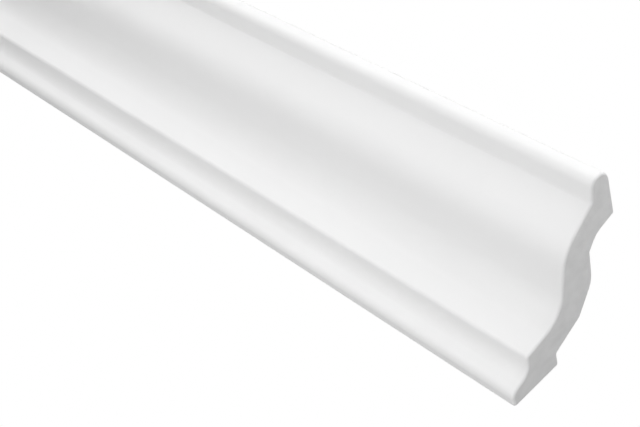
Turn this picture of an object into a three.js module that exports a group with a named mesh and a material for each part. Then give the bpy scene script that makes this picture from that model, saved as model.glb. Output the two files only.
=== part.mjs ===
// Crown moulding length: a smooth ogee crown that closes the corner between a wall and a ceiling.
//
// Millimetres. The origin is the middle of the land that lies on the wall. +X runs along the length, +Y points
// into the wall and +Z points up to the ceiling, so the room is on the -Y side.
import * as THREE from 'three';

// Overall sizes
const length = 600;
const drop = 81.3;
const projection = 87;

// Members of the front that keep their place above the lip. Depths are measured from the wall and heights
// from the underside of the lip, each to the sharp corner that its radius rounds off.
const footArris = 0.4;
const lipDepth = 8.4;
const lipRadius = 5.6;
const neckDepth = 12.2;
const neckHeight = 12.3;
const neckRadius = 8;
const beadDepth = 22.5;
const beadHeight = 13.5;
const beadRadius = 2.4;
const coveDepth = 27.5;
const coveHeight = 38.3;
const coveRadius = 18;

// Members of the front that keep their place at the nose. Setbacks are measured from the front of the nose
// and drops from the ceiling.
const ovoloSetback = 26.2;
const ovoloDrop = 34.4;
const ovoloRadius = 25;
const upperNeckSetback = 11.8;
const upperNeckDrop = 12.5;
const upperNeckRadius = 1.8;
const noseHeight = 10.3;
const noseUnderRadius = 4.8;
const noseTopRadius = 5.4;

// Ceiling land and relieved back, the upper part measured as the nose is and the lower part from the wall land
const ceilingLand = 28.1;
const ceilingArris = 0.7;
const hollowSetback = 30.8;
const hollowDrop = 12.6;
const hollowRadius = 13;
const shoulderSetback = 37.8;
const shoulderDrop = 18.7;
const shoulderRadius = 0.5;
const backSetback = 56;
const backDrop = 20.2;
const backRadius = 16;
const hipDepth = 16.3;
const hipRise = 18.4;
const hipRadius = 2.2;
const stepDepth = 8;
const stepRise = 0.6;
const stepRadius = 1.8;
const wallLand = 30.4;
const wallArris = 1;

// The cut ends: the radius that eases the moulded side's arris, and the steps of that round
const endEase = 1.3;
const endSteps = 4;

// Largest turn of one facet on any rounded corner, in degrees
const facetTurn = 7.5;

// Corners of the section in order, anticlockwise as seen from the far end: from the foot of the wall land
// along the lip, up the moulded front, over the nose, and down the relieved back. Each has its depth from the
// wall, its height above the lip, its radius, and whether the side that leaves it is moulded face.
const corners = [
  { out: 0, up: 0, radius: footArris, moulded: true },
  { out: lipDepth, up: 0, radius: lipRadius, moulded: true },
  { out: neckDepth, up: neckHeight, radius: neckRadius, moulded: true },
  { out: beadDepth, up: beadHeight, radius: beadRadius, moulded: true },
  { out: coveDepth, up: coveHeight, radius: coveRadius, moulded: true },
  { out: projection - ovoloSetback, up: drop - ovoloDrop, radius: ovoloRadius, moulded: true },
  { out: projection - upperNeckSetback, up: drop - upperNeckDrop, radius: upperNeckRadius, moulded: true },
  { out: projection, up: drop - noseHeight, radius: noseUnderRadius, moulded: true },
  { out: projection, up: drop, radius: noseTopRadius, moulded: false },
  { out: projection - ceilingLand, up: drop, radius: ceilingArris, moulded: false },
  { out: projection - hollowSetback, up: drop - hollowDrop, radius: hollowRadius, moulded: false },
  { out: projection - shoulderSetback, up: drop - shoulderDrop, radius: shoulderRadius, moulded: false },
  { out: projection - backSetback, up: drop - backDrop, radius: backRadius, moulded: false },
  { out: hipDepth, up: wallLand + stepRise + hipRise, radius: hipRadius, moulded: false },
  { out: stepDepth, up: wallLand + stepRise, radius: stepRadius, moulded: false },
  { out: 0, up: wallLand, radius: wallArris, moulded: false },
];

// How far a corner's full round would reach along the sides that meet there
function roundReach(index, sides) {
  const before = sides[(index + sides.length - 1) % sides.length];
  const turn = Math.acos(before.along.dot(sides[index].along));
  return corners[index].radius * Math.tan(turn / 2);
}

// Sides of the section: each from one corner to the next, with its direction and its length
function sectionSides() {
  return corners.map((corner, index) => {
    const next = corners[(index + 1) % corners.length];
    const along = new THREE.Vector2(next.out - corner.out, next.up - corner.up);
    return { size: along.length(), along: along.normalize(), moulded: corner.moulded };
  });
}

// The part of its radius that a corner gets, where two rounds share a side that is too short for both
function radiusShare(index, sides) {
  const last = (index + sides.length - 1) % sides.length;
  const next = (index + 1) % sides.length;
  const own = roundReach(index, sides);
  const roomBefore = sides[last].size / (own + roundReach(last, sides));
  const roomAfter = sides[index].size / (own + roundReach(next, sides));
  return Math.min(1, roomBefore, roomAfter);
}

// Where a corner lies once the sides that meet there are moved into the material by their own insets
function insetCorner(corner, before, after, insetBefore, insetAfter) {
  const cross = before.along.cross(after.along);
  const dot = before.along.dot(after.along);
  const alongBefore = (insetBefore * dot - insetAfter) / cross;
  return new THREE.Vector2(
    corner.out - insetBefore * before.along.y + alongBefore * before.along.x,
    corner.up + insetBefore * before.along.x + alongBefore * before.along.y,
  );
}

// The rounded outline with its moulded sides moved into the material by inset. A convex round loses the inset
// from its radius and a hollow one gains it, so the moved outline runs parallel to the first.
function outline(inset) {
  const sides = sectionSides();
  const points = [];
  corners.forEach((corner, index) => {
    const before = sides[(index + sides.length - 1) % sides.length];
    const after = sides[index];
    const insetBefore = before.moulded ? inset : 0;
    const insetAfter = after.moulded ? inset : 0;
    const bend = Math.sign(before.along.cross(after.along));
    const turn = Math.acos(before.along.dot(after.along));
    const sharp = insetCorner(corner, before, after, insetBefore, insetAfter);
    const full = corner.radius * radiusShare(index, sides);
    const radius = Math.max(full - bend * Math.min(insetBefore, insetAfter), 0);
    const start = sharp.clone().addScaledVector(before.along, -radius * Math.tan(turn / 2));
    const facets = Math.ceil(turn / THREE.MathUtils.degToRad(facetTurn));
    for (let facet = 0; facet <= facets; facet += 1) {
      const angle = (turn * facet) / facets;
      const forward = radius * Math.sin(angle);
      const sideways = bend * radius * (1 - Math.cos(angle));
      points.push(new THREE.Vector2(
        start.x + forward * before.along.x - sideways * before.along.y,
        start.y + forward * before.along.y + sideways * before.along.x,
      ));
    }
  });
  return points;
}

// Sections along the length: each end is eased in a quarter round, and the body between is straight
function stations() {
  const list = [];
  for (let step = endSteps; step >= 0; step -= 1) {
    const angle = (Math.PI / 2) * (step / endSteps);
    const fromEnd = endEase * (1 - Math.sin(angle));
    list.push({ x: -length / 2 + fromEnd, inset: endEase * (1 - Math.cos(angle)) });
  }
  return [...list, ...list.map(({ x, inset }) => ({ x: -x, inset })).reverse()];
}

// The closed body: a skin between neighbouring sections and a flat cap on each cut end
function mouldingGeometry() {
  const rings = stations().map(({ x, inset }) => ({ x, points: outline(inset) }));
  const count = rings[0].points.length;
  const positions = rings.flatMap(({ x, points }) => points.flatMap((p) => [x, -p.x, p.y - wallLand / 2]));
  const faces = [];
  for (let ring = 0; ring < rings.length - 1; ring += 1) {
    for (let index = 0; index < count; index += 1) {
      const here = ring * count + index;
      const beside = ring * count + ((index + 1) % count);
      faces.push(here, here + count, beside, beside, here + count, beside + count);
    }
  }
  const nearRing = (rings.length - 1) * count;
  THREE.ShapeUtils.triangulateShape(rings[0].points, []).forEach(([a, b, c]) => {
    faces.push(a, b, c, nearRing + a, nearRing + c, nearRing + b);
  });
  const geometry = new THREE.BufferGeometry();
  geometry.setAttribute('position', new THREE.Float32BufferAttribute(positions, 3));
  geometry.setIndex(faces);
  geometry.computeVertexNormals();
  return geometry;
}

// White primed rigid foam, moulded in one piece
const primedWhite = new THREE.MeshStandardMaterial({ color: '#f3f3f1', roughness: 0.55, metalness: 0 });

const moulding = new THREE.Mesh(mouldingGeometry(), primedWhite);
moulding.name = 'crown_moulding';

const crownMouldingLength = new THREE.Group();
crownMouldingLength.add(moulding);

export default crownMouldingLength;
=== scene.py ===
# Crown moulding length: a smooth ogee crown of primed rigid foam, seen from below and in front.
# The frame is in metres: +X along the length, +Y into the wall, +Z up to the ceiling.
import bpy
import numpy as np
from mathutils import Matrix, Vector


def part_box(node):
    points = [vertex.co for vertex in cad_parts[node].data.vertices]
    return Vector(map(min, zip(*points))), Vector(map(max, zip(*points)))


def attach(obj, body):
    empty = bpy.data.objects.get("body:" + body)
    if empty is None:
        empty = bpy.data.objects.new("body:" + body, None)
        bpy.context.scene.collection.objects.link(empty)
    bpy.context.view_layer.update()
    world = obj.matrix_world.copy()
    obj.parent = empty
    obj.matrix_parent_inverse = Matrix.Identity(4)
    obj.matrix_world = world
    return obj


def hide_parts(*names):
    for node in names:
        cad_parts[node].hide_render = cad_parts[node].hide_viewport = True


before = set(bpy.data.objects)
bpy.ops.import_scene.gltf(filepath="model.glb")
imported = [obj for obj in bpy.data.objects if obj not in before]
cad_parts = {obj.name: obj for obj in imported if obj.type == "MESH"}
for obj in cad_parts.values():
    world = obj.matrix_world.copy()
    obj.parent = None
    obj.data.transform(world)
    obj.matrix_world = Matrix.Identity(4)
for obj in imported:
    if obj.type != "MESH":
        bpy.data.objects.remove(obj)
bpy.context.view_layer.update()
nodeLow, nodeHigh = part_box("crown_moulding")
millimetre = 0.001
print("frame loaded")


def linearColour(hexColour):
    # An sRGB hex colour as linear light with full alpha
    srgb = np.array([int(hexColour[i:i + 2], 16) for i in (1, 3, 5)]) / 255
    linear = np.where(srgb <= 0.04045, srgb / 12.92, ((srgb + 0.055) / 1.055) ** 2.4)
    return (*linear.tolist(), 1.0)


def addNode(material, kind, inputs=None, links=None, **settings):
    # Adds one node: settings are its properties, inputs fill its sockets and links feed them
    node = material.node_tree.nodes.new(kind)
    for name, value in settings.items():
        setattr(node, name, value)
    for socket, value in (inputs or {}).items():
        node.inputs[socket].default_value = value
    for socket, source in (links or {}).items():
        material.node_tree.links.new(source, node.inputs[socket])
    return node


def emptyMaterial(name):
    material = bpy.data.materials.new(name)
    material.use_nodes = True
    material.node_tree.nodes.clear()
    return material


def patternScale(millimetres):
    # The texture scale at which one blob of a pattern is about this size
    return 1 / (millimetres * millimetre)


cloudDetail = 3.0
mixFactor, mixFirst, mixSecond, mixResult = 0, 6, 7, 2    # sockets of a Mix node set to colour


def finishMaterial(material, look, normal):
    # The shader that every finish of the moulding ends in: two close tones and a roughness that drift
    # in clouds
    place = addNode(material, "ShaderNodeTexCoord").outputs["Object"]
    clouds = addNode(material, "ShaderNodeTexNoise",
                     {"Scale": patternScale(look["cloudSize"]), "Detail": cloudDetail},
                     {"Vector": place}).outputs["Fac"]
    tone = addNode(material, "ShaderNodeMix",
                   {mixFirst: linearColour(look["colour"]), mixSecond: linearColour(look["shade"])},
                   {mixFactor: clouds}, data_type="RGBA").outputs[mixResult]
    smoothest, roughest = look["roughness"]
    roughness = addNode(material, "ShaderNodeMapRange", {"To Min": smoothest, "To Max": roughest},
                        {"Value": clouds}).outputs["Result"]
    shader = addNode(material, "ShaderNodeBsdfPrincipled", {"IOR": look["ior"]},
                     {"Base Color": tone, "Roughness": roughness, "Normal": normal})
    addNode(material, "ShaderNodeOutputMaterial", links={"Surface": shader.outputs["BSDF"]})
    return material


primerLook = {
    "colour": "#f4f4f4",
    "shade": "#efefef",
    "roughness": (0.46, 0.56),
    "ior": 1.47,
    "peelSize": 2.2,       # across one dimple of the sprayed film
    "peelDetail": 2.0,
    "peelHeight": 0.010,
    "cloudSize": 70,       # across one patch of thicker or thinner primer
}


def sprayedPrimer(look):
    # Acrylic primer sprayed on moulded foam: an even satin white, with a faint orange peel that softens
    # its gloss
    material = emptyMaterial("sprayedWhitePrimer")
    place = addNode(material, "ShaderNodeTexCoord").outputs["Object"]
    peel = addNode(material, "ShaderNodeTexNoise",
                   {"Scale": patternScale(look["peelSize"]), "Detail": look["peelDetail"]},
                   {"Vector": place}).outputs["Fac"]
    bump = addNode(material, "ShaderNodeBump",
                   {"Strength": 1.0, "Distance": look["peelHeight"] * millimetre}, {"Height": peel})
    return finishMaterial(material, look, bump.outputs["Normal"])


cutLook = {
    "colour": "#f1f1f1",
    "shade": "#dbdbdb",
    "roughness": (0.72, 0.84),
    "ior": 1.46,
    "cellSize": 0.9,       # coarser than the real cells, which are finer than 0.3 and would not show
    "cellHeight": 0.04,
    "sawStep": 1.6,        # between saw marks
    "sawWander": 2.0,      # how far a saw mark strays from straight
    "sawDetail": 2.0,
    "sawHeight": 0.015,
    "cloudSize": 7,        # across one patch where the foam is a little denser
}


def sawnFoam(look):
    # Closed-cell foam cut by a fine saw: matte, with open cells and faint straight saw marks
    material = emptyMaterial("sawnWhiteFoam")
    place = addNode(material, "ShaderNodeTexCoord").outputs["Object"]
    cells = addNode(material, "ShaderNodeTexVoronoi", {"Scale": patternScale(look["cellSize"])},
                    {"Vector": place}).outputs["Distance"]
    cellBump = addNode(material, "ShaderNodeBump",
                       {"Strength": 1.0, "Distance": look["cellHeight"] * millimetre}, {"Height": cells})
    # A wave's bands repeat every pi / 10 of a unit at scale 1
    marks = addNode(material, "ShaderNodeTexWave",
                    {"Scale": np.pi / 10 * patternScale(look["sawStep"]),
                     "Distortion": look["sawWander"], "Detail": look["sawDetail"]},
                    {"Vector": place}, bands_direction="Y").outputs["Fac"]
    bump = addNode(material, "ShaderNodeBump",
                   {"Strength": 1.0, "Distance": look["sawHeight"] * millimetre},
                   {"Height": marks, "Normal": cellBump.outputs["Normal"]})
    return finishMaterial(material, look, bump.outputs["Normal"])


backLook = {
    "colour": "#eeeeec",
    "shade": "#e5e5e3",
    "roughness": (0.58, 0.70),
    "ior": 1.46,
    "grainSize": 1.4,
    "grainStretch": 3,     # how many times longer the grain is along the moulding, as the foam flowed
    "grainDetail": 4.0,
    "grainHeight": 0.03,
    "cloudSize": 24,
}


def mouldedSkin(look):
    # The foam's own skin off the back of the mould, unpainted: duller than the face, with a low uneven
    # grain
    material = emptyMaterial("bareMouldedSkin")
    place = addNode(material, "ShaderNodeTexCoord").outputs["Object"]
    along = addNode(material, "ShaderNodeMapping", {"Scale": (1 / look["grainStretch"], 1, 1)},
                    {"Vector": place}).outputs["Vector"]
    grain = addNode(material, "ShaderNodeTexNoise",
                    {"Scale": patternScale(look["grainSize"]), "Detail": look["grainDetail"]},
                    {"Vector": along}).outputs["Fac"]
    bump = addNode(material, "ShaderNodeBump",
                   {"Strength": 1.0, "Distance": look["grainHeight"] * millimetre}, {"Height": grain})
    return finishMaterial(material, look, bump.outputs["Normal"])


# What a user would change about the moulding, in millimetres. Each corner of the section has its place
# before rounding and its radius. The lower corners are measured from the wall and from the underside of
# the lip, and the upper ones from the front of the nose and from the ceiling.
mouldingShape = {
    "corners": [
        {"name": "lipFoot", "out": 0, "up": 0, "radius": 0.4, "moulded": True},
        {"name": "lip", "out": 8.4, "up": 0, "radius": 5.6, "moulded": True},
        {"name": "neck", "out": 12.2, "up": 12.3, "radius": 8, "moulded": True},
        {"name": "bead", "out": 22.5, "up": 13.5, "radius": 2.4, "moulded": True},
        {"name": "cove", "out": 27.5, "up": 38.3, "radius": 18, "moulded": True},
        {"name": "ovolo", "back": 26.2, "down": 34.4, "radius": 25, "moulded": True},
        {"name": "upperNeck", "back": 11.8, "down": 12.5, "radius": 1.8, "moulded": True},
        {"name": "noseUnder", "back": 0, "down": 10.3, "radius": 4.8, "moulded": True},
        {"name": "noseTop", "back": 0, "down": 0, "radius": 5.4, "moulded": False},
        {"name": "ceilingBack", "back": 28.1, "down": 0, "radius": 0.7, "moulded": False},
        {"name": "hollow", "back": 30.8, "down": 12.6, "radius": 13, "moulded": False},
        {"name": "shoulder", "back": 37.8, "down": 18.7, "radius": 0.5, "moulded": False},
        {"name": "relief", "back": 56, "down": 20.2, "radius": 16, "moulded": False},
        {"name": "hip", "out": 16.3, "up": 49.4, "radius": 2.2, "moulded": False},
        {"name": "step", "out": 8, "up": 31.0, "radius": 1.8, "moulded": False},
        {"name": "wallTop", "out": 0, "up": 30.4, "radius": 1.0, "moulded": False},
    ],
    "endEase": 1.3,        # radius of the round where the moulded face meets a cut end
    "easeSteps": 10,
    "facet": 0.8,          # longest facet across the section
    "facetTurn": 4.0,      # largest turn of a facet on a rounded corner, in degrees
    "stationStep": 15,     # distance between stations along the straight length
    "firstStation": 0.8,   # the station just inside each eased end
}


def sharpCorners(shape):
    # The section's corners before rounding: depth from the wall and height above the lip, in millimetres
    projection = -nodeLow.y / millimetre
    drop = (nodeHigh.z - nodeLow.z) / millimetre
    return np.array([
        (projection - corner["back"], drop - corner["down"]) if "back" in corner
        else (corner["out"], corner["up"])
        for corner in shape["corners"]
    ])


def sectionOutline(shape, inset):
    # Rounded outline of the section, with its moulded sides moved into the material by inset. Each side
    # is shifted along its inward normal, neighbouring sides meet in a new sharp corner, and an arc of
    # the corner's radius, less the inset on a convex corner and more on a hollow one, joins them. The
    # straight between two arcs is divided evenly. The number of points doesn't depend on the inset. The
    # second array says of each facet whether it is moulded face.
    sharp = sharpCorners(shape)
    radii = np.array([corner["radius"] for corner in shape["corners"]], float)
    moulded = np.array([corner["moulded"] for corner in shape["corners"]])
    side = np.roll(sharp, -1, axis=0) - sharp
    side /= np.linalg.norm(side, axis=1, keepdims=True)
    before = np.roll(side, 1, axis=0)
    shift = np.where(moulded, inset, 0.0)
    shiftBefore = np.roll(shift, 1)
    cross = before[:, 0] * side[:, 1] - before[:, 1] * side[:, 0]
    dot = (before * side).sum(axis=1)
    bend = np.sign(cross)
    turn = np.arccos(dot)
    inward = np.stack([-before[:, 1], before[:, 0]], axis=1)
    forward = (shiftBefore * dot - shift) / cross
    moved = sharp + shiftBefore[:, None] * inward + forward[:, None] * before
    radius = np.maximum(radii - bend * np.minimum(shift, shiftBefore), 0)
    reach = radius * np.tan(turn / 2)
    arcSteps = np.ceil(np.degrees(turn) / shape["facetTurn"]).astype(int)
    fullReach = radii * np.tan(turn / 2)
    straight = np.linalg.norm(np.roll(sharp, -1, axis=0) - sharp, axis=1)
    straight -= fullReach + np.roll(fullReach, -1)
    straightSteps = np.maximum(np.ceil(straight / shape["facet"]), 1).astype(int)
    points, onFace = [], []
    for i in range(len(moved)):
        angle = np.linspace(0, turn[i], arcSteps[i] + 1)[:, None]
        start = moved[i] - reach[i] * before[i]
        arc = start + radius[i] * (np.sin(angle) * before[i] + bend[i] * (1 - np.cos(angle)) * inward[i])
        following = (i + 1) % len(moved)
        nextStart = moved[following] - reach[following] * side[i]
        share = np.linspace(0, 1, straightSteps[i] + 1)[1:-1, None]
        points += [arc, arc[-1] + share * (nextStart - arc[-1])]
        # A facet is moulded face where its side or either side of its round is
        onFace.append(np.full(arcSteps[i], moulded[i] or moulded[i - 1]))
        onFace.append(np.full(straightSteps[i], moulded[i]))
    return np.concatenate(points), np.concatenate(onFace)


def lengthStations(shape):
    # Places along the length and the inset of the moulded sides there: a quarter round at each end,
    # where the distance from the end is ease * (1 - sin a) and the inset ease * (1 - cos a), and even
    # steps between
    halfLength = nodeHigh.x / millimetre
    ease = shape["endEase"]
    angle = np.radians(np.linspace(90, 0, shape["easeSteps"] + 1))
    end = -halfLength + ease * (1 - np.sin(angle))
    inner = -end[-1] - shape["firstStation"]
    straight = np.linspace(-inner, inner, int(2 * inner / shape["stationStep"]) + 1)
    along = np.concatenate([end, straight, -end[::-1]])
    insets = np.concatenate([ease * (1 - np.cos(angle)), 0 * straight, ease * (1 - np.cos(angle[::-1]))])
    return along, insets


def crownMoulding(shape, finishes):
    # The section carried along the length: rings of points, quads between neighbouring rings and a cap
    # on each cut end, with the foot of the wall land at the node's lowest corner
    along, insets = lengthStations(shape)
    rings = np.stack([sectionOutline(shape, inset)[0] for inset in insets])
    onFace = sectionOutline(shape, 0)[1]
    ringCount, pointCount = rings.shape[:2]
    points = np.empty((ringCount, pointCount, 3))
    points[..., 0] = along[:, None] * millimetre
    points[..., 1] = -rings[..., 0] * millimetre
    points[..., 2] = nodeLow.z + rings[..., 1] * millimetre
    here = np.arange(ringCount * pointCount).reshape(ringCount, pointCount)
    beside = np.roll(here, -1, axis=1)
    quads = np.stack([here[:-1], here[1:], beside[1:], beside[:-1]], axis=-1).reshape(-1, 4)
    caps = [here[0].tolist(), here[-1][::-1].tolist()]
    mesh = bpy.data.meshes.new("crownMoulding")
    mesh.from_pydata(points.reshape(-1, 3).tolist(), [], quads.tolist() + caps)
    for finish in finishes:
        mesh.materials.append(finish)
    face, cut, back = range(len(finishes))
    slots = np.concatenate([np.tile(np.where(onFace, face, back), ringCount - 1), [cut, cut]])
    mesh.polygons.foreach_set("material_index", slots.astype(np.int32))
    smooth = np.ones(len(mesh.polygons), bool)
    smooth[-2:] = False
    mesh.polygons.foreach_set("use_smooth", smooth)
    # The cut's own edge is sharp all round
    ends = np.empty(len(mesh.edges) * 2, np.int32)
    mesh.edges.foreach_get("vertices", ends)
    edgeRings = ends.reshape(-1, 2) // pointCount
    onCut = (edgeRings == 0).all(axis=1) | (edgeRings == ringCount - 1).all(axis=1)
    sharpEdges = mesh.attributes.new("sharp_edge", "BOOLEAN", "EDGE")
    sharpEdges.data.foreach_set("value", onCut)
    mesh.update()
    piece = bpy.data.objects.new("crownMouldingLength", mesh)
    bpy.context.collection.objects.link(piece)
    return piece


studio = {
    "floorDrop": 1.30,     # metres from the origin down to the floor
    "floorSize": 40.0,     # metres across
    "floorColour": "#f0f0f0",
    "floorRoughness": 0.9,
    "floorGrain": 6,       # millimetres across one grain of the paint
    "grainHeight": 0.1,
    "grainStrength": 0.3,
    "floorGlow": 0.25,     # added to what the lights give the floor, against 1 for pure white
    "ambient": 0.25,       # light from the white surround, against 1 for pure white
}


def paleFloor():
    # Matte painted board: even and without gloss. It lies far enough below that a camera can look up
    # at the moulding
    material = emptyMaterial("matteFloorPaint")
    place = addNode(material, "ShaderNodeTexCoord").outputs["Object"]
    grain = addNode(material, "ShaderNodeTexNoise", {"Scale": patternScale(studio["floorGrain"])},
                    {"Vector": place}).outputs["Fac"]
    bump = addNode(material, "ShaderNodeBump",
                   {"Strength": studio["grainStrength"], "Distance": studio["grainHeight"] * millimetre},
                   {"Height": grain})
    # The glow is seen but lights nothing, as the white surround is
    seen = addNode(material, "ShaderNodeLightPath").outputs["Is Camera Ray"]
    glow = addNode(material, "ShaderNodeMath", {1: studio["floorGlow"]}, {0: seen}, operation="MULTIPLY")
    colour = linearColour(studio["floorColour"])
    shader = addNode(material, "ShaderNodeBsdfPrincipled",
                     {"Base Color": colour, "Emission Color": colour,
                      "Roughness": studio["floorRoughness"]},
                     {"Normal": bump.outputs["Normal"], "Emission Strength": glow.outputs[0]})
    addNode(material, "ShaderNodeOutputMaterial", links={"Surface": shader.outputs["BSDF"]})
    half = studio["floorSize"] / 2
    turns = ((-1, -1), (1, -1), (1, 1), (-1, 1))
    corners = [(x * half, y * half, -studio["floorDrop"]) for x, y in turns]
    mesh = bpy.data.meshes.new("floor")
    mesh.from_pydata(corners, [], [(0, 1, 2, 3)])
    mesh.materials.append(material)
    floor = bpy.data.objects.new("floor", mesh)
    bpy.context.collection.objects.link(floor)


# Soft lights: place and width in metres, power in watts. Each is aimed at the middle of the moulding.
softLights = {
    "roomSide": {"place": (-0.085, -1.240, 0.526), "width": 1.0, "power": 6.2},
    "above": {"place": (0.000, -0.650, 1.000), "width": 0.9, "power": 3.55},
    "overhead": {"place": (-0.600, -1.200, 2.600), "width": 2.5, "power": 16.6},
    "nearFront": {"place": (0.250, -0.950, 0.100), "width": 0.6, "power": 0.81},
    "farSide": {"place": (-1.100, -0.700, 0.150), "width": 0.8, "power": 2.74},
    "endAbove": {"place": (0.620, -0.100, 0.360), "width": 0.25, "power": 0.5},
    "endBelow": {"place": (0.900, -0.350, -0.450), "width": 0.5, "power": 1.9},
    "below": {"place": (0.150, -0.350, -0.420), "width": 0.3, "power": 0.79},
    "behind": {"place": (-0.300, 1.600, 0.700), "width": 1.2, "power": 10.0},
}


def addSoftLight(name, look, target):
    lamp = bpy.data.lights.new(name, "AREA")
    lamp.shape = "DISK"
    lamp.size = look["width"]
    lamp.energy = look["power"]
    light = bpy.data.objects.new(name, lamp)
    place = Vector(look["place"])
    aimed = (place - target).to_track_quat("Z", "Y").to_matrix().to_4x4()
    light.matrix_world = Matrix.Translation(place) @ aimed
    bpy.context.collection.objects.link(light)


def whiteSurround():
    # Pure white behind the moulding, and a dimmer even light from the same surround on its surfaces
    world = bpy.data.worlds.new("whiteSurround")
    bpy.context.scene.world = world
    world.use_nodes = True
    world.node_tree.nodes.clear()
    seen = addNode(world, "ShaderNodeLightPath").outputs["Is Camera Ray"]
    lit = addNode(world, "ShaderNodeBackground", {"Color": (1, 1, 1, 1), "Strength": studio["ambient"]})
    white = addNode(world, "ShaderNodeBackground", {"Color": (1, 1, 1, 1), "Strength": 1.0})
    both = addNode(world, "ShaderNodeMixShader", links={0: seen, 1: lit.outputs[0], 2: white.outputs[0]})
    addNode(world, "ShaderNodeOutputWorld", links={"Surface": both.outputs[0]})


# The photo's camera: where it stands in metres, and its right, up and back directions
photoCamera = {
    "place": (0.605077, -0.506105, -0.244562),
    "right": (0.65612, 0.25095, 0.71171),
    "up": (-0.39467, -0.68974, 0.60704),
    "back": (0.64323, -0.67918, -0.35351),
    "focalPixels": 1343.1,
    "frameWidth": 640,
    "sensorWidth": 36,
}


def placeCamera(look):
    data = bpy.data.cameras.new("photoCamera")
    data.sensor_fit = "HORIZONTAL"
    data.sensor_width = look["sensorWidth"]
    data.lens = look["focalPixels"] / look["frameWidth"] * look["sensorWidth"]
    camera = bpy.data.objects.new("photoCamera", data)
    turned = Matrix((look["right"], look["up"], look["back"])).transposed().to_4x4()
    camera.matrix_world = Matrix.Translation(look["place"]) @ turned
    bpy.context.collection.objects.link(camera)
    bpy.context.scene.camera = camera


placeCamera(photoCamera)
print("camera placed")

finishes = [sprayedPrimer(primerLook), sawnFoam(cutLook), mouldedSkin(backLook)]
moulding = crownMoulding(mouldingShape, finishes)
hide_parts("crown_moulding")
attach(moulding, "root")
print("moulding made:", len(moulding.data.polygons), "faces")

paleFloor()
whiteSurround()
middle = (nodeLow + nodeHigh) / 2
for lightName, lightLook in softLights.items():
    addSoftLight(lightName, lightLook, middle)
bpy.context.scene.view_settings.view_transform = "Standard"
print("studio lit")
